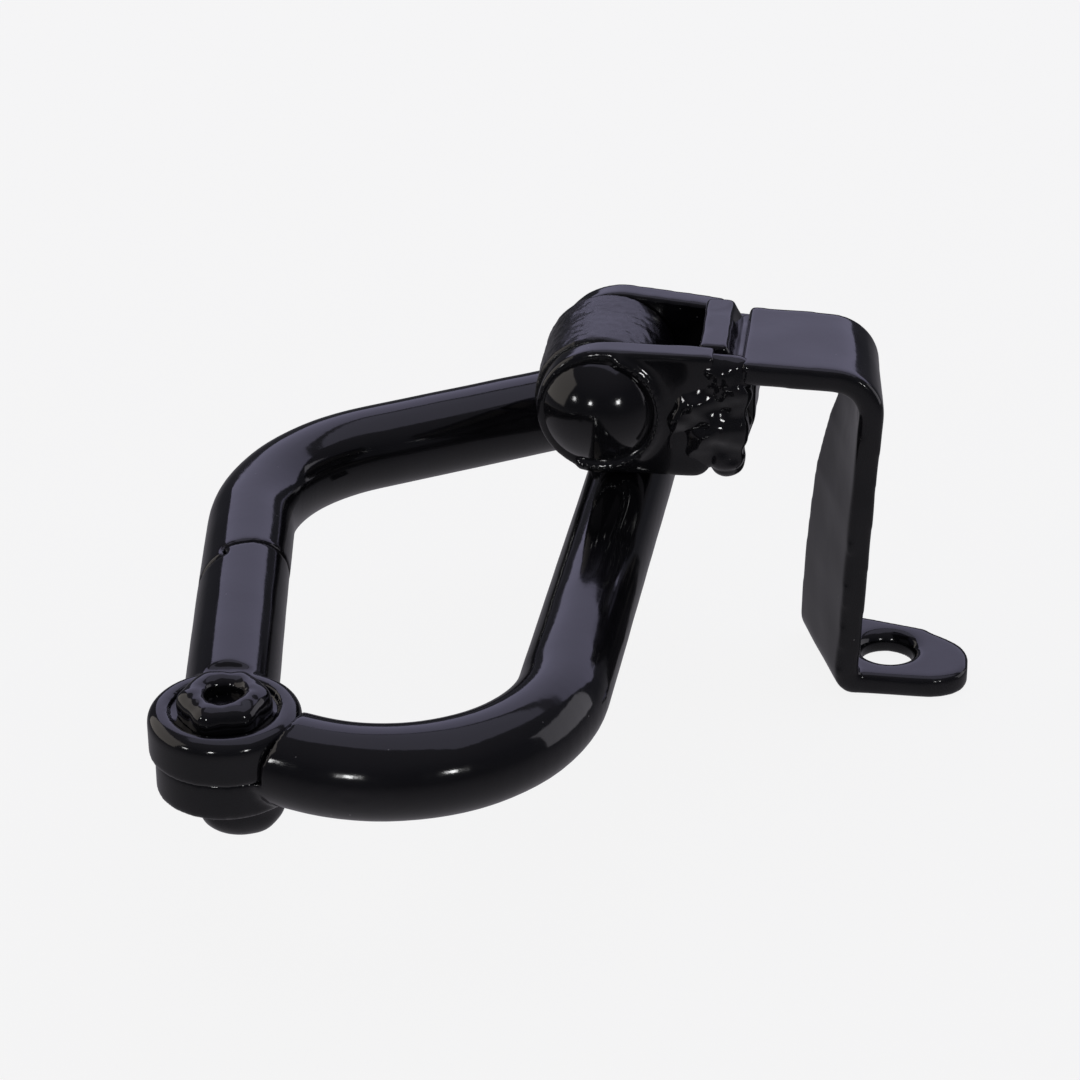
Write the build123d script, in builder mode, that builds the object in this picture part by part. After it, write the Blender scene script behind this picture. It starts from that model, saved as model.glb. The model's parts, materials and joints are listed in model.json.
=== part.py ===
from build123d import *
import os
from math import asin, cos, radians, sin, sqrt

os.makedirs("parts", exist_ok=True)

# Millimetres, +Z up. The origin is the centre of the bolt hole in the strap's tab, on the tab's
# underside. The tab lies on +X of the pivot, and the pivot's rivet lies along Y.

# Loop: a bent round bar in a level plane, closed by a gate that turns on an upright bolt.
bar_radius = 8.0
loop_z = 36.7
hub_x, hub_y = -108.3, -100.4
gate_angle = 98.1  # way the gate points from the hub, degrees from +X
back_corner = (hub_x - 13.3, hub_y + 96.4)
pivot_corner = (hub_x + 59.4, hub_y + 142.2)
front_corner = (hub_x + 52.4, hub_y - 17.5)
back_bend, pivot_bend, front_bend = 36.0, 12.5, 30.4
seam_radius = 52.8  # the gate's length from the hub axis to the seam
seam_skew = 18.0  # the seam is cut on the slant, so the gate's tip clears it going inwards
seam_step = 2.0
seam_gap = 0.4
step_offset = 3.0  # how far the step lies outside the gate's centre line

# Hub: two half-thickness knuckles, one on each bar.
knuckle_radius = 12.8
lower_radius = 11.8
knuckle_top, knuckle_low = 7.0, 8.0  # above and below the bars' centre plane
knuckle_split = -1.0
knuckle_gap = 0.2
shoulder_gap = 0.4
knuckle_round = 2.2
bolt_radius = 4.0
bolt_fit = 0.05
bolt_head_radius, bolt_head_height, bolt_head_round = 7.4, 7.4, 4.0
head_offset = 2.2  # the head was formed off centre, towards +X
nut_across_flats, nut_height = 13.0, 3.6
recess_radius, recess_depth = 9.4, 1.2
seat_gap = 0.05
bolt_end_depth = 1.9  # how far the bolt's end lies below the nut's top

# Pivot: a barrel welded on the loop, between two cheeks, on a rivet with domed heads.
pin_x, pin_z = -55.5, loop_z + 20.8
barrel_radius, barrel_length = 12.5, 20.4
fork_near, fork_far = -12.0, 18.4
cheek_thickness = 4.8
cheek_radius, cheek_offset = 12.3, 1.0  # the round end's centre lies this far behind the rivet
cheek_end = 21.0  # from the rivet's axis
foot_round = 3.5
far_offset, far_drop = 2.0, 1.8  # the far cheek is a little shorter, and slopes down to the block
rivet_radius, rivet_fit, barrel_fit = 5.0, 0.03, 0.06
rivet_head_radius, rivet_head_height = 10.4, 6.0
block_start, block_shelf, block_end = 18.0, 25.2, 28.5
block_low, block_foot = -11.3, 25.8
weld_radius, weld_offset = 3.5, 6.0
weld_near, weld_far = -1.0, 11.0  # ends of the barrel's welds
groove_fill, weld_bite = 1.0, 0.9
cheek_weld_run, cheek_weld_height, cheek_weld_drop = 1.6, 17.4, 1.6

# Strap: a flat bar that runs level, turns down with a twist and ends in a holed tab.
strap_width, strap_thickness, strap_edge = 25.4, 4.0, 1.0
strap_near = -12.0
strap_start, strap_run = 26.2, 17.4
strap_top = 9.2  # its middle plane at the fork, above the rivet's axis
strap_slope = -2.0
strap_lean = -92.2
strap_twist = 19.2
top_skew = 4.5
top_bend, foot_bend = 7.0, 2.6
groove_width, groove_depth = 2.4, 4.4
tab_near, tab_far = -11.2, 10.8
tab_corner = 5.5  # the straight near side of the tab ends here
tab_tip, tab_turn, tab_side = (15.3, -1.8), (13.6, 2.8), (8.0, 7.0)
tab_start = -4.0
hole_radius, hole_chamfer = 5.3, 1.3

hub_top = loop_z + knuckle_top
hub_bottom = loop_z - knuckle_low
split_top = loop_z + knuckle_split + knuckle_gap / 2
split_bottom = loop_z + knuckle_split - knuckle_gap / 2
fork_middle = (fork_near + fork_far) / 2
gap_near = fork_near + cheek_thickness
gap_far = fork_far - cheek_thickness


def from_hub(distance, angle):
    """A point in plan at this distance and angle from the hub's axis."""
    return (hub_x + distance * cos(radians(angle)), hub_y + distance * sin(radians(angle)))


def side_plane(y):
    """The fork's side view at this Y: x runs along +X, y up, and extrusion goes towards -Y."""
    return Plane(origin=(pin_x, y, pin_z), x_dir=(1, 0, 0), z_dir=(0, -1, 0))


def cap_middle(radius, height):
    """Half-way point of a domed head's arc: its distance from the axis and below the tip."""
    sphere = (radius**2 + height**2) / (2 * height)
    half = asin(radius / sphere) / 2
    return sphere * sin(half), sphere * (1 - cos(half))


hub_at = Locations((hub_x, hub_y))
seam_x, seam_y = from_hub(seam_radius, gate_angle)
seam_at = Location((seam_x, seam_y, hub_bottom - 1), (0, 0, gate_angle + seam_skew))
cut_height = 2 * bar_radius + 3


# ---- loop bar, with the lower knuckle ----
with BuildPart() as loop_bar:
    with BuildLine(Plane.XY.offset(loop_z)) as loop_path:
        FilletPolyline(
            from_hub(seam_radius - 9, gate_angle),
            back_corner,
            pivot_corner,
            front_corner,
            (hub_x, hub_y),
            radius=(back_bend, pivot_bend, front_bend),
        )
    with BuildSketch(Plane(loop_path.wire() @ 0, z_dir=loop_path.wire() % 0)):
        Circle(bar_radius)
    sweep(path=loop_path.wire())
    # the seam is a slanting cut with a step, whose lip stops the gate on its way out
    with Locations(seam_at):
        Box(20, 40, cut_height, align=(Align.MAX, Align.CENTER, Align.MIN), mode=Mode.SUBTRACT)
        with Locations((0, step_offset, 0)):
            Box(
                2 * (seam_step + seam_gap),
                20,
                cut_height,
                align=(Align.CENTER, Align.MAX, Align.MIN),
                mode=Mode.SUBTRACT,
            )
    # half of the bar makes way for the gate's knuckle
    with BuildSketch(Plane.XY.offset(split_bottom)):
        with hub_at:
            Circle(knuckle_radius + shoulder_gap)
    extrude(amount=2 * bar_radius, mode=Mode.SUBTRACT)
    with BuildSketch(Plane.XY.offset(hub_bottom)):
        with hub_at:
            Circle(lower_radius)
    extrude(amount=split_bottom - hub_bottom)
    with BuildSketch(Plane.XY.offset(hub_bottom)):
        with hub_at:
            Circle(bolt_radius + bolt_fit)
    extrude(amount=2 * bar_radius, mode=Mode.SUBTRACT)

# ---- gate bar, with the upper knuckle ----
with BuildPart() as knuckle_disc:
    with BuildSketch(Plane.XY.offset(split_top)):
        with hub_at:
            Circle(knuckle_radius)
    extrude(amount=hub_top - split_top)
    fillet(knuckle_disc.faces().sort_by(Axis.Z)[-1].edges(), radius=knuckle_round)

with BuildPart() as gate_bar:
    gate_line = Vector(cos(radians(gate_angle)), sin(radians(gate_angle)), 0)
    with BuildSketch(Plane((hub_x, hub_y, loop_z), z_dir=gate_line)):
        Circle(bar_radius)
    extrude(amount=seam_radius + 12)
    with Locations(seam_at):
        with Locations((-seam_gap, step_offset - seam_gap, 0)):
            Box(20, 20, cut_height, align=(Align.MIN, Align.MIN, Align.MIN), mode=Mode.SUBTRACT)
        with Locations((seam_step, 0, 0)):
            Box(20, 40, cut_height, align=(Align.MIN, Align.CENTER, Align.MIN), mode=Mode.SUBTRACT)
    with BuildSketch(Plane.XY.offset(hub_bottom - 1)):
        with hub_at:
            Circle(knuckle_radius + shoulder_gap)
    extrude(amount=split_top - hub_bottom + 1, mode=Mode.SUBTRACT)
    with BuildSketch(Plane.XY.offset(hub_top)):
        with hub_at:
            Circle(knuckle_radius)
    extrude(amount=bar_radius, mode=Mode.SUBTRACT)
    add(knuckle_disc.part)
    with BuildSketch(Plane.XY.offset(hub_top - recess_depth)):
        with hub_at:
            Circle(recess_radius)
    extrude(amount=recess_depth + 1, mode=Mode.SUBTRACT)
    with BuildSketch(Plane.XY.offset(split_top - 1)):
        with hub_at:
            Circle(bolt_radius + bolt_fit)
    extrude(amount=2 * bar_radius, mode=Mode.SUBTRACT)

# ---- hub bolt and its nut ----
nut_seat = hub_top - recess_depth + seat_gap
nut_top = nut_seat + nut_height
with BuildPart() as gate_bolt:
    with BuildSketch(Plane.XY.offset(hub_bottom - seat_gap - bolt_head_height)):
        with Locations((hub_x + head_offset, hub_y)):
            Circle(bolt_head_radius)
    extrude(amount=bolt_head_height)
    fillet(gate_bolt.faces().sort_by(Axis.Z)[0].edges(), radius=bolt_head_round)
    with BuildSketch(Plane.XY.offset(hub_bottom - seat_gap)):
        with hub_at:
            Circle(bolt_radius)
    extrude(amount=nut_top - bolt_end_depth - hub_bottom + seat_gap)

with BuildPart() as gate_nut:
    with BuildSketch(Plane.XY.offset(nut_seat)):
        with hub_at:
            RegularPolygon(nut_across_flats / 2, 6, major_radius=False, rotation=12)
    extrude(amount=nut_height)
    fillet(gate_nut.edges().filter_by(Axis.Z), radius=1.6)
    fillet(gate_nut.faces().sort_by(Axis.Z)[-1].edges(), radius=1.2)
    with BuildSketch(Plane.XY.offset(nut_seat)):
        with hub_at:
            Circle(bolt_radius + rivet_fit)
    extrude(amount=nut_height, mode=Mode.SUBTRACT)

# ---- pivot barrel, and the two welds that hold it on the loop ----
with BuildPart() as pivot_barrel:
    with BuildSketch(side_plane(fork_middle + barrel_length / 2)):
        Circle(barrel_radius)
        Circle(rivet_radius + barrel_fit, mode=Mode.SUBTRACT)
    extrude(amount=barrel_length)
    chamfer(pivot_barrel.edges().filter_by(GeomType.CIRCLE).sort_by(SortBy.RADIUS)[-2:], length=0.6)

# the loop's pivot run passes under the barrel here
run_share = (pivot_corner[1] - fork_middle) / (pivot_corner[1] - front_corner[1])
run_x = pivot_corner[0] - (pivot_corner[0] - front_corner[0]) * run_share - pin_x
run_z = loop_z - pin_z
axis_distance = sqrt(run_x**2 + run_z**2)
toward = (run_x / axis_distance, run_z / axis_distance)
meet = (axis_distance + barrel_radius - bar_radius) / 2


def barrel_weld(side):
    """A weld bead that fills the valley between the barrel and the loop bar, on one side."""
    with BuildPart() as bead:
        centre = (
            meet * toward[0] - side * weld_offset * toward[1],
            meet * toward[1] + side * weld_offset * toward[0],
        )
        with BuildSketch(side_plane(weld_far)):
            with Locations(centre):
                Circle(weld_radius)
        extrude(amount=weld_far - weld_near)
        add(loop_bar.part, mode=Mode.SUBTRACT)
        add(pivot_barrel.part, mode=Mode.SUBTRACT)
    return bead.part


barrel_weld_right = barrel_weld(1)
barrel_weld_left = barrel_weld(-1)


# ---- fork: two cheeks welded to a bridge block ----
def cheek(y_far, offset, top_drop):
    """One cheek: round about the rivet, straight to the block, with its foot corner rounded."""
    with BuildPart() as plate:
        with BuildSketch(side_plane(y_far)):
            with Locations((offset, 0)):
                Circle(cheek_radius)
            with BuildLine():
                Polyline(
                    (offset, -cheek_radius),
                    (cheek_end, -cheek_radius),
                    (cheek_end, cheek_radius - top_drop),
                    (offset, cheek_radius),
                    close=True,
                )
            make_face()
        extrude(amount=cheek_thickness)
        foot = plate.edges().filter_by(Axis.Y).group_by(Axis.X)[-1].sort_by(Axis.Z)[0]
        fillet(foot, radius=foot_round)
        with BuildSketch(side_plane(y_far)):
            Circle(rivet_radius + rivet_fit)
        extrude(amount=cheek_thickness, mode=Mode.SUBTRACT)
    return plate.part


cheek_near = cheek(gap_near, cheek_offset, 0)
cheek_far = cheek(fork_far, far_offset, far_drop)

shelf_z = strap_top - strap_thickness / 2 - 0.6
with BuildPart() as bridge_block:
    with BuildSketch(side_plane(gap_far)):
        with BuildLine():
            Polyline(
                (block_start, block_low),
                (block_foot, block_low),
                (block_end, block_low + 9),
                (block_end, shelf_z),
                (block_shelf, shelf_z),
                (block_shelf, cheek_radius - groove_depth),
                (block_shelf - groove_width, cheek_radius),
                (block_start, cheek_radius),
                close=True,
            )
        make_face()
    extrude(amount=gap_far - gap_near)
    fillet(bridge_block.edges().filter_by(Axis.Y).group_by(Axis.X)[0], radius=0.8)


def cheek_weld(y_far, bulge):
    """The weld that joins a cheek's end to the block, standing a little proud of the cheek."""
    bead_end = block_foot + cheek_weld_run
    with BuildPart() as bead:
        with BuildSketch(side_plane(y_far)):
            with Locations(((cheek_end + bead_end) / 2, -cheek_weld_drop)):
                RectangleRounded(bead_end - cheek_end, cheek_weld_height, 2.2)
        extrude(amount=cheek_thickness + bulge)
        fillet(bead.faces().sort_by(Axis.Y)[0].edges(), radius=1.2)
    return bead.part


cheek_weld_near = cheek_weld(gap_near, 0.5)
cheek_weld_far = cheek_weld(fork_far, 0)

# ---- rivet, formed with a domed head at each end ----
head_reach, head_drop = cap_middle(rivet_head_radius, rivet_head_height)
with BuildPart() as pivot_rivet:
    with BuildSketch(Plane((pin_x, 0, pin_z))):
        with BuildLine():
            Line((0, fork_near - rivet_head_height), (0, fork_far + rivet_head_height))
            ThreePointArc(
                (0, fork_far + rivet_head_height),
                (head_reach, fork_far + rivet_head_height - head_drop),
                (rivet_head_radius, fork_far),
            )
            Polyline(
                (rivet_head_radius, fork_far),
                (rivet_radius, fork_far),
                (rivet_radius, fork_near),
                (rivet_head_radius, fork_near),
            )
            ThreePointArc(
                (rivet_head_radius, fork_near),
                (head_reach, fork_near - rivet_head_height + head_drop),
                (0, fork_near - rivet_head_height),
            )
        make_face()
    revolve(axis=Axis((pin_x, 0, pin_z), (0, 1, 0)))


# ---- strap ----
def heading(angle):
    """A unit vector in the side view, this many degrees above +X."""
    return Vector(cos(radians(angle)), 0, sin(radians(angle)))


def station(edge, along, skew):
    """A section whose near edge is at this point, its width turned in plan by the skew angle."""
    across = Vector(-sin(radians(skew)), cos(radians(skew)), 0)
    square = (along - across * along.dot(across)).normalized()
    return Plane(edge + across * (strap_width / 2), x_dir=across, z_dir=square)


fork_edge = Vector(pin_x + strap_start, strap_near, pin_z + strap_top)
bend_edge = fork_edge + heading(strap_slope) * strap_run
bend_centre = bend_edge + heading(strap_slope - 90) * top_bend
sections = [
    station(fork_edge, heading(strap_slope), 0),
    station(fork_edge + heading(strap_slope) * strap_run * 0.3, heading(strap_slope), 0),
    station(fork_edge + heading(strap_slope) * strap_run * 0.7, heading(strap_slope), top_skew / 2),
]
bend_steps = 8
for step in range(bend_steps + 1):
    way = strap_slope + (strap_lean - strap_slope) * step / bend_steps
    edge = bend_centre + heading(way + 90) * top_bend
    sections.append(station(edge, heading(way), top_skew))
down_edge = bend_centre + heading(strap_lean + 90) * top_bend
foot_z = strap_thickness / 2
hang = (down_edge.Z - foot_z - foot_bend) / sin(radians(-strap_lean))
for share, turned in ((0.08, 0.3), (0.2, 0.6), (0.4, 0.9), (0.7, 1.0), (0.9, 1.0)):
    edge = down_edge + heading(strap_lean) * hang * share
    sections.append(station(edge, heading(strap_lean), top_skew + (strap_twist - top_skew) * turned))

# the foot bend folds about a line across the twisted strap
foot_edge = down_edge + heading(strap_lean) * hang
fold_across = Vector(-sin(radians(strap_twist)), cos(radians(strap_twist)), 0)
fold_along = Vector(cos(radians(strap_twist)), sin(radians(strap_twist)), 0)
down = Vector(0, 0, -1)
for turn in range(0, 91, 15):
    reach = foot_bend * (1 - cos(radians(turn)))
    drop = foot_bend * sin(radians(turn))
    edge = foot_edge + fold_along * reach + down * drop
    along = down * cos(radians(turn)) + fold_along * sin(radians(turn))
    sections.append(station(edge, along, strap_twist))

fold_near = foot_edge + fold_along * foot_bend
fold_far = fold_near + fold_across * (strap_width - strap_edge)
with BuildPart() as strap_arm:
    for section in sections:
        with BuildSketch(section):
            Rectangle(strap_width, strap_thickness)
    loft(ruled=True)
    with BuildSketch(Plane.XY):
        with BuildLine():
            Polyline(
                (tab_start, tab_far),
                (fold_far.X, fold_far.Y),
                (fold_near.X - 0.6, tab_near + 0.3),
                (tab_corner, tab_near),
            )
            Spline(
                (tab_corner, tab_near),
                tab_tip,
                tab_turn,
                tab_side,
                (tab_start, tab_far),
                tangents=((1, 0), (-1, 0.25)),
            )
        make_face()
    extrude(amount=strap_thickness)
    with BuildSketch(Plane.XY.offset(-1)):
        Circle(hole_radius)
    extrude(amount=strap_thickness + 2, mode=Mode.SUBTRACT)
    with Locations((0, 0, strap_thickness)):
        Cone(
            hole_radius,
            hole_radius + hole_chamfer,
            hole_chamfer,
            align=(Align.CENTER, Align.CENTER, Align.MAX),
            mode=Mode.SUBTRACT,
        )

# ---- weld that fills the groove between the block and the strap ----
with BuildPart() as strap_weld:
    with BuildSketch(side_plane(gap_far)):
        with BuildLine():
            Polyline(
                (block_shelf - weld_bite, cheek_radius - groove_depth + groove_fill),
                (strap_start + weld_bite, strap_top),
                (strap_start + weld_bite, shelf_z),
                (block_shelf - weld_bite, shelf_z),
                close=True,
            )
        make_face()
    extrude(amount=gap_far - gap_near)
    add(strap_arm.part, mode=Mode.SUBTRACT)
    add(bridge_block.part, mode=Mode.SUBTRACT)

pieces = {
    "loop_bar": loop_bar.part,
    "pivot_barrel": pivot_barrel.part,
    "barrel_weld_left": barrel_weld_left,
    "barrel_weld_right": barrel_weld_right,
    "gate_bar": gate_bar.part,
    "gate_bolt": gate_bolt.part,
    "gate_nut": gate_nut.part,
    "cheek_near": cheek_near,
    "cheek_far": cheek_far,
    "bridge_block": bridge_block.part,
    "cheek_weld_near": cheek_weld_near,
    "cheek_weld_far": cheek_weld_far,
    "pivot_rivet": pivot_rivet.part,
    "strap_arm": strap_arm.part,
    "strap_weld": strap_weld.part,
}
for name, piece in pieces.items():
    piece.label = name
    export_step(piece, f"parts/{name}.step")
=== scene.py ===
import json
from math import cos, radians, sin

import bmesh
import bpy
import numpy as np
from mathutils import Matrix, Vector, noise


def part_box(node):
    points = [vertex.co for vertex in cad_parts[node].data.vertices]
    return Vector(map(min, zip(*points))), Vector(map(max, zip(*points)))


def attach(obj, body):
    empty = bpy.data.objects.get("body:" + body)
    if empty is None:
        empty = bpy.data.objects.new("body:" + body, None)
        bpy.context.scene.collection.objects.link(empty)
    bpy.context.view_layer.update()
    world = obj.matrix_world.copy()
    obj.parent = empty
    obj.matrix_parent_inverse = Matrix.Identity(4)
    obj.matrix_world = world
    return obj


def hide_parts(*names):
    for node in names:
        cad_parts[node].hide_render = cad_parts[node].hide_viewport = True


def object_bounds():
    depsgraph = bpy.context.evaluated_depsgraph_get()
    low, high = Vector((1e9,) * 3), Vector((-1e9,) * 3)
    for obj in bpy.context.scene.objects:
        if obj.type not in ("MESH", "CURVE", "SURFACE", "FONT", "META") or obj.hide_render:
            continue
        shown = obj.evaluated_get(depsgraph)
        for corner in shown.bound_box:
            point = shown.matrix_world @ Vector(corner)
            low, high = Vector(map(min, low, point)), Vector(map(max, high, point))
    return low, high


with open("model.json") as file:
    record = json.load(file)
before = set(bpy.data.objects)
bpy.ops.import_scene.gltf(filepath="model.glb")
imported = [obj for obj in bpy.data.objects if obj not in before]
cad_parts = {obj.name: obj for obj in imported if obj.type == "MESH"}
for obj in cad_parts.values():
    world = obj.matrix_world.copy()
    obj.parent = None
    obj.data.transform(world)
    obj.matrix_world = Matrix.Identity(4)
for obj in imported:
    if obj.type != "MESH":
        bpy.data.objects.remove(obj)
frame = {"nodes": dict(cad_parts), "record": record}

cad_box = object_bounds()
MM = 0.001
RIDGE_STEPS = 26
FLOOR_HALF_WIDTH = 12.0
FLOOR_DROP = 0.2 * MM    # below the tab, so that the two faces don't share a plane
LENS, SENSOR = 116.7, 36.0
CAMERA_PITCH, CAMERA_TURN = 28.8, 7.0    # degrees below level, and about Z
CAMERA_FROM_HUB = (112.6, -486.4, 311.5)    # mm
LAMP_RISE = 17    # degrees above level

body_of_node = {
    node: body for body, nodes in frame["record"]["behaviour"]["bodies"].items() for node in nodes
}
slot_of_node = {part["node"]: part["material_slot"] for part in frame["record"]["subparts"]}


# ---- materials ----
def node_tree(name):
    """A new material, with its nodes and its Principled shader."""
    material = bpy.data.materials.new(name)
    material.use_nodes = True
    nodes = material.node_tree.nodes
    return material, nodes, material.node_tree.links, nodes["Principled BSDF"]


def object_noise(nodes, links, scale, detail=3.0, rough=0.5):
    """A noise texture in the piece's own coordinates, in metres."""
    place = nodes.new("ShaderNodeTexCoord")
    texture = nodes.new("ShaderNodeTexNoise")
    texture.inputs["Scale"].default_value = scale
    texture.inputs["Detail"].default_value = detail
    texture.inputs["Roughness"].default_value = rough
    links.new(place.outputs["Object"], texture.inputs["Vector"])
    return texture


def ramp(nodes, links, source, stops):
    """A colour ramp over a value, with stops as (position, colour)."""
    scale = nodes.new("ShaderNodeValToRGB")
    elements = scale.color_ramp.elements
    elements[0].position, elements[0].color = stops[0][0], (*stops[0][1], 1)
    elements[1].position, elements[1].color = stops[-1][0], (*stops[-1][1], 1)
    for position, colour in stops[1:-1]:
        elements.new(position).color = (*colour, 1)
    links.new(source, scale.inputs["Fac"])
    return scale.outputs["Color"]


def gloss_paint(name, tone, roughness, peel, grain, grain_depth, rust=0.0):
    """Thick black enamel: orange peel, dust specks, and the metal's own grain under the film."""
    material, nodes, links, shader = node_tree(name)
    wash = object_noise(nodes, links, 60, 4)
    dark, light = tone
    colour = ramp(nodes, links, wash.outputs["Fac"], [(0.35, dark), (0.7, light)])
    if rust:
        stain = object_noise(nodes, links, 900, 6, 0.7)
        spot = ramp(nodes, links, stain.outputs["Fac"], [(0.62, (0, 0, 0)), (0.72, (1, 1, 1))])
        mix = nodes.new("ShaderNodeMix")
        mix.data_type = "RGBA"
        amount = nodes.new("ShaderNodeMath")
        amount.operation = "MULTIPLY"
        amount.inputs[1].default_value = rust
        links.new(spot, amount.inputs[0])
        links.new(amount.outputs[0], mix.inputs["Factor"])
        links.new(colour, mix.inputs["A"])
        mix.inputs["B"].default_value = (0.055, 0.03, 0.018, 1)
        colour = mix.outputs["Result"]
    # dust: tiny pale specks, few and far between
    place = nodes.new("ShaderNodeTexCoord")
    cells = nodes.new("ShaderNodeTexVoronoi")
    cells.inputs["Scale"].default_value = 330
    cells.inputs["Randomness"].default_value = 1
    links.new(place.outputs["Object"], cells.inputs["Vector"])
    fleck = ramp(nodes, links, cells.outputs["Distance"], [(0.035, (1, 1, 1)), (0.06, (0, 0, 0))])
    pick = nodes.new("ShaderNodeSeparateColor")
    links.new(cells.outputs["Color"], pick.inputs["Color"])
    few = nodes.new("ShaderNodeMath")
    few.operation = "GREATER_THAN"
    few.inputs[1].default_value = 0.72
    links.new(pick.outputs["Red"], few.inputs[0])
    dust = nodes.new("ShaderNodeMath")
    dust.operation = "MULTIPLY"
    links.new(fleck, dust.inputs[0])
    links.new(few.outputs[0], dust.inputs[1])
    dusty = nodes.new("ShaderNodeMix")
    dusty.data_type = "RGBA"
    links.new(dust.outputs[0], dusty.inputs["Factor"])
    links.new(colour, dusty.inputs["A"])
    dusty.inputs["B"].default_value = (0.10, 0.095, 0.10, 1)
    links.new(dusty.outputs["Result"], shader.inputs["Base Color"])
    # gloss varies a little with the film's thickness
    film = object_noise(nodes, links, 140, 5)
    low, high = roughness
    gloss = nodes.new("ShaderNodeMapRange")
    gloss.inputs["From Min"].default_value = 0.3
    gloss.inputs["From Max"].default_value = 0.75
    gloss.inputs["To Min"].default_value = low
    gloss.inputs["To Max"].default_value = high
    links.new(film.outputs["Fac"], gloss.inputs["Value"])
    links.new(gloss.outputs["Result"], shader.inputs["Roughness"])
    # relief: broad orange peel under a finer grain
    broad = object_noise(nodes, links, 160, 2)
    fine = object_noise(nodes, links, grain, 4, 0.6)
    peel_bump = nodes.new("ShaderNodeBump")
    peel_bump.inputs["Strength"].default_value = peel
    peel_bump.inputs["Distance"].default_value = 0.4 * MM
    links.new(broad.outputs["Fac"], peel_bump.inputs["Height"])
    grain_bump = nodes.new("ShaderNodeBump")
    grain_bump.inputs["Strength"].default_value = grain_depth
    grain_bump.inputs["Distance"].default_value = 0.12 * MM
    links.new(fine.outputs["Fac"], grain_bump.inputs["Height"])
    links.new(peel_bump.outputs["Normal"], grain_bump.inputs["Normal"])
    links.new(grain_bump.outputs["Normal"], shader.inputs["Normal"])
    shader.inputs["IOR"].default_value = 1.52
    shader.inputs["Coat Weight"].default_value = 0.35
    shader.inputs["Coat Roughness"].default_value = 0.05
    return material


black = ((0.0030, 0.0030, 0.0036), (0.0060, 0.0058, 0.0072))
paints = {
    "gloss_black_paint": gloss_paint("gloss_black_paint", black, (0.07, 0.15), 0.10, 900, 0.07),
    "rough_black_paint": gloss_paint(
        "rough_black_paint", black, (0.18, 0.34), 0.45, 1300, 0.75, rust=0.35
    ),
    "weld_black_paint": gloss_paint(
        "weld_black_paint", black, (0.05, 0.14), 0.35, 700, 0.15, rust=0.1
    ),
}


# ---- painted pieces: each CAD node's shape under a thick, softened paint film ----
def flow(point, size, seed):
    """Smooth noise, about -1 to 1, with features of this size in metres."""
    return noise.noise(point / size + Vector((seed * 7.1, seed * 3.7, seed * 5.3)))


def lump(centre, radii):
    """An ellipsoid of weld or paint, to be melted into a piece."""
    def shape(builder):
        place = Matrix.Translation(centre) @ Matrix.Diagonal((*[r * MM for r in radii], 1))
        bmesh.ops.create_icosphere(builder, subdivisions=3, radius=1, matrix=place)
    return shape


def ridge(centre, major, minor, start, end):
    """A bead round the rivet's head, from one angle to the other, in a plane across Y."""
    def shape(builder):
        for k in range(RIDGE_STEPS + 1):
            angle = radians(start + (end - start) * k / RIDGE_STEPS)
            offset = Vector((cos(angle), 0, sin(angle))) * major * MM
            place = Matrix.Translation(centre + offset)
            bmesh.ops.create_icosphere(builder, subdivisions=2, radius=minor * MM, matrix=place)
    return shape


def painted(node, voxel, soften, waves, swell=0.0, extras=()):
    """Makes a piece that stands for a CAD node: remeshed, softened, and with an uneven skin.

    waves is a list of (feature size, height) and swell the film's own thickness, all in mm.
    extras are lumps and ridges that melt into it."""
    source = frame["nodes"][node]
    work = bpy.data.objects.new(node + "_work", source.data.copy())
    if extras:
        builder = bmesh.new()
        builder.from_mesh(work.data)
        for shape in extras:
            shape(builder)
        builder.to_mesh(work.data)
        builder.free()
    bpy.context.scene.collection.objects.link(work)
    remesh = work.modifiers.new("remesh", "REMESH")
    remesh.mode = "VOXEL"
    remesh.voxel_size = voxel * MM
    smooth = work.modifiers.new("smooth", "SMOOTH")
    smooth.factor = 0.5
    smooth.iterations = soften
    bpy.context.view_layer.update()
    graph = bpy.context.evaluated_depsgraph_get()
    mesh = bpy.data.meshes.new_from_object(work.evaluated_get(graph))
    bpy.data.objects.remove(work)
    seed = sum(map(ord, node)) % 17
    count = len(mesh.vertices)
    points = np.empty(count * 3)
    normals = np.empty(count * 3)
    mesh.vertices.foreach_get("co", points)
    mesh.vertices.foreach_get("normal", normals)
    points = points.reshape(-1, 3)
    normals = normals.reshape(-1, 3)
    for i in range(count):
        point = Vector(points[i])
        lift = sum(
            height * flow(point, size * MM, seed + k) for k, (size, height) in enumerate(waves)
        )
        points[i] += normals[i] * (lift + swell) * MM
    # the film adds nothing past the whole model's box, so the tab still seats flat
    points = np.clip(points, np.array(cad_box[0]), np.array(cad_box[1]))
    mesh.vertices.foreach_set("co", points.reshape(-1))
    mesh.polygons.foreach_set("use_smooth", [True] * len(mesh.polygons))
    mesh.materials.clear()
    mesh.materials.append(paints[slot_of_node[node]])
    mesh.update()
    piece = bpy.data.objects.new(node + "_painted", mesh)
    bpy.context.scene.collection.objects.link(piece)
    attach(piece, body_of_node[node])
    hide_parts(node)


skin = [(9, -0.05)]
painted("loop_bar", 0.5, 7, skin, swell=0.12)
painted("gate_bar", 0.4, 8, skin, swell=0.12)
painted("gate_bolt", 0.4, 8, [(4, 0.25)])
painted("gate_nut", 0.3, 34, [(4, 0.35), (2, 0.15)], swell=0.9)
painted("pivot_barrel", 0.4, 4, [(3.5, 0.12), (1.2, 0.08)])
painted("barrel_weld_left", 0.35, 5, [(3, 0.5)])
painted("barrel_weld_right", 0.35, 5, [(3, 0.5)])
joints = {joint["name"]: joint for joint in frame["record"]["behaviour"]["joints"]}
pin = Vector(joints["loop_swing"]["pos_m"])
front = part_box("cheek_near")[0][1]
head = Vector((pin.x, front, pin.z))


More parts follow.
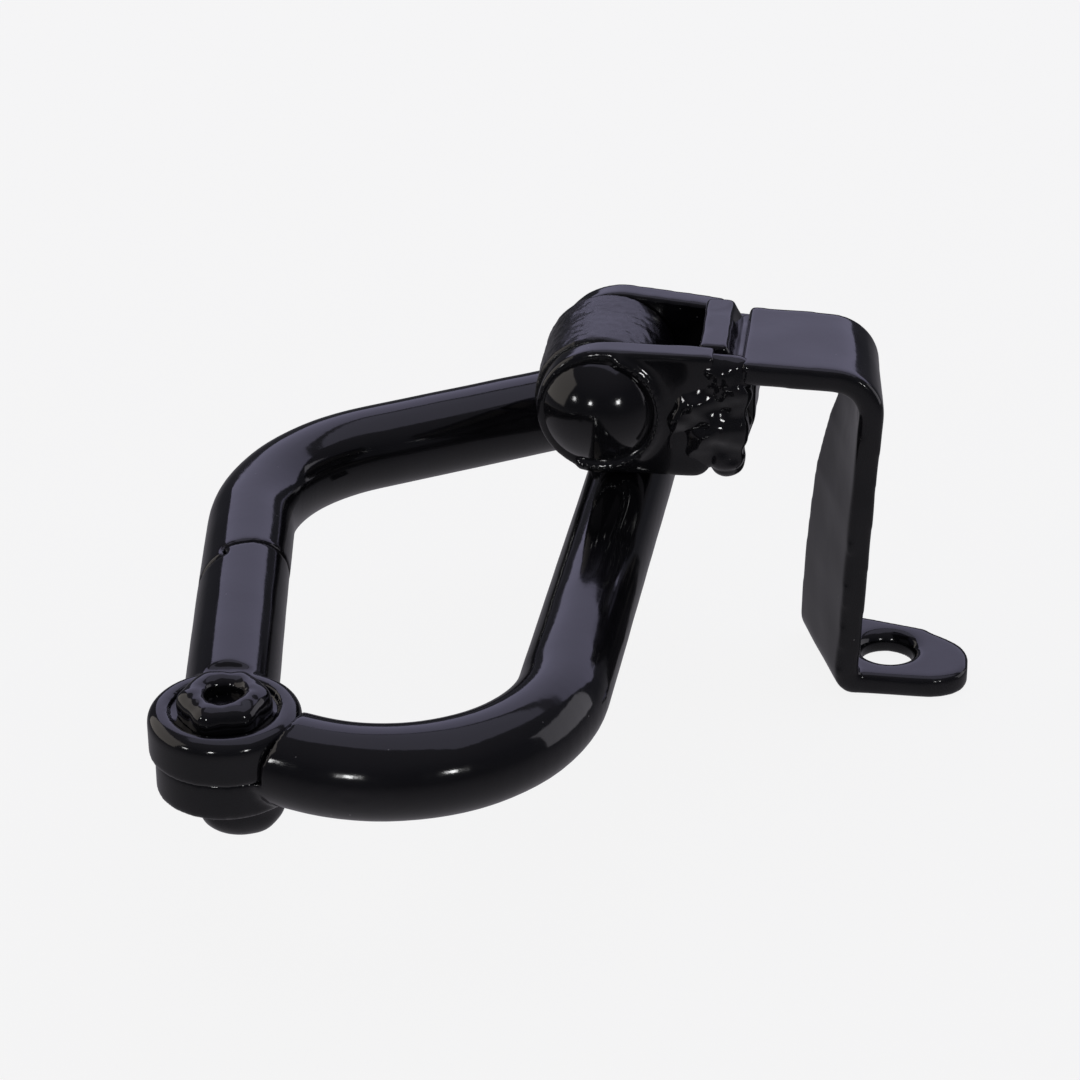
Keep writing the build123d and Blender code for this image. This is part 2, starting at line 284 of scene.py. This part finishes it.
def at_fork(x, y, z):
    """A point this far from the rivet's axis, in mm, with y measured from the near cheek's face."""
    return Vector((pin.x + x * MM, front + y * MM, pin.z + z * MM))


painted("cheek_near", 0.35, 30, [(6, 0.14)], swell=0.25, extras=[ridge(head, 11.2, 1.1, -105, 70)])
painted("cheek_far", 0.35, 30, [(6, 0.12)], swell=0.2)
painted("bridge_block", 0.35, 22, [(5, 0.15)], swell=0.25)
weld_lumps = [
    lump(at_fork(18.5, 1.0, -1.5), (6.8, 1.9, 9.2)),
    lump(at_fork(21.5, 1.8, 6.4), (5.0, 2.2, 5.2)),
    lump(at_fork(24.0, 2.4, 8.0), (4.4, 2.6, 3.6)),
    lump(at_fork(23.6, 2.8, -3.5), (3.6, 3.4, 8.8)),
    lump(at_fork(24.6, 3.2, -8.6), (2.6, 3.0, 3.4)),
]
painted("cheek_weld_near", 0.3, 16, [(5, 1.3), (2.4, 0.35)], swell=0.35, extras=weld_lumps)
painted("cheek_weld_far", 0.35, 10, [(4, 0.5)], swell=0.4)
painted("pivot_rivet", 0.4, 4, [(6, 0.10)])
painted("strap_arm", 0.35, 42, [(10, 0.12)], swell=0.3)
painted("strap_weld", 0.3, 16, [(5, 0.2)], swell=0.5)


# ---- stage ----
def floor_plane():
    """A wide pale floor, just under the tab."""
    half = FLOOR_HALF_WIDTH
    mesh = bpy.data.meshes.new("floor")
    corners = [(-half, -half, 0), (half, -half, 0), (half, half, 0), (-half, half, 0)]
    mesh.from_pydata(corners, [], [(0, 1, 2, 3)])
    plane = bpy.data.objects.new("floor", mesh)
    plane.location.z = cad_box[0][2] - FLOOR_DROP
    material, nodes, links, shader = node_tree("pale_floor")
    shader.inputs["Base Color"].default_value = (0.09, 0.09, 0.088, 1)
    shader.inputs["Roughness"].default_value = 0.9
    shader.inputs["Specular IOR Level"].default_value = 0.1
    shader.inputs["Emission Color"].default_value = (1, 1, 1, 1)
    shader.inputs["Emission Strength"].default_value = 0.875
    mesh.materials.append(material)
    bpy.context.scene.collection.objects.link(plane)
    plane.visible_glossy = False


def softbox(name, place, aim, size, power, tint=(1, 1, 1)):
    """A rectangular area light that faces the aim point."""
    lamp = bpy.data.lights.new(name, "AREA")
    lamp.shape = "RECTANGLE"
    lamp.size, lamp.size_y = size
    lamp.energy = power
    lamp.color = tint
    light = bpy.data.objects.new(name, lamp)
    light.location = place
    light.rotation_euler = (Vector(aim) - Vector(place)).to_track_quat("-Z", "Y").to_euler()
    bpy.context.scene.collection.objects.link(light)


floor_plane()
middle = (Vector(cad_box[0]) + Vector(cad_box[1])) / 2
softbox("back_box", middle + Vector((0.1, 1.2, 0.75)), middle, (2.2, 0.9), 4.6, (0.72, 0.69, 1.0))
softbox("top_box", middle + Vector((0.1, 0.35, 1.35)), middle, (1.5, 1.1), 2.4, (0.76, 0.74, 1.0))
softbox("left_box", middle + Vector((-1.3, 0.1, 0.5)), middle, (1.8, 1.3), 4.6, (1.0, 0.92, 0.84))
softbox("right_box", middle + Vector((1.3, 0.4, 0.3)), middle, (1.0, 0.9), 1.9, (0.95, 0.92, 1.0))
# three lamps by the camera: their bearing from it, in degrees, and their power
for bearing, power in ((-54, 0.35), (-19, 0.6), (29, 0.6)):
    way = radians(bearing + CAMERA_TURN - 90)
    low = radians(LAMP_RISE)
    place = Vector((cos(way) * cos(low), sin(way) * cos(low), sin(low)))
    softbox("lamp", middle + place, middle, (0.1, 0.1), power)

world = bpy.data.worlds.new("studio")
world.use_nodes = True
world_nodes, world_links = world.node_tree.nodes, world.node_tree.links
heading = world_nodes.new("ShaderNodeTexCoord")
height = world_nodes.new("ShaderNodeSeparateXYZ")
world_links.new(heading.outputs["Generated"], height.inputs["Vector"])
rise = world_nodes.new("ShaderNodeMapRange")
rise.inputs["From Min"].default_value = -1
rise.inputs["From Max"].default_value = 1
world_links.new(height.outputs["Z"], rise.inputs["Value"])
# paler below, as above the pale floor, and darkest just over the horizon
room = [
    (0.0, (0.26, 0.25, 0.27)),
    (0.33, (0.13, 0.125, 0.14)),
    (0.48, (0.05, 0.05, 0.06)),
    (0.7, (0.06, 0.06, 0.075)),
    (1.0, (0.15, 0.145, 0.17)),
]
sky = ramp(world_nodes, world_links, rise.outputs["Result"], room)
world_links.new(sky, world_nodes["Background"].inputs["Color"])
bpy.context.scene.world = world
bpy.context.scene.view_settings.view_transform = "Standard"

# ---- camera ----
hub = Vector(joints["gate_swing"]["pos_m"])
camera = bpy.data.objects.new("camera", bpy.data.cameras.new("camera"))
camera.data.sensor_width = SENSOR
camera.data.lens = LENS
camera.location = hub + Vector(CAMERA_FROM_HUB) * MM
camera.rotation_euler = (radians(90 - CAMERA_PITCH), 0, radians(CAMERA_TURN))
camera.data.clip_start = 0.01
bpy.context.scene.collection.objects.link(camera)
bpy.context.scene.camera = camera
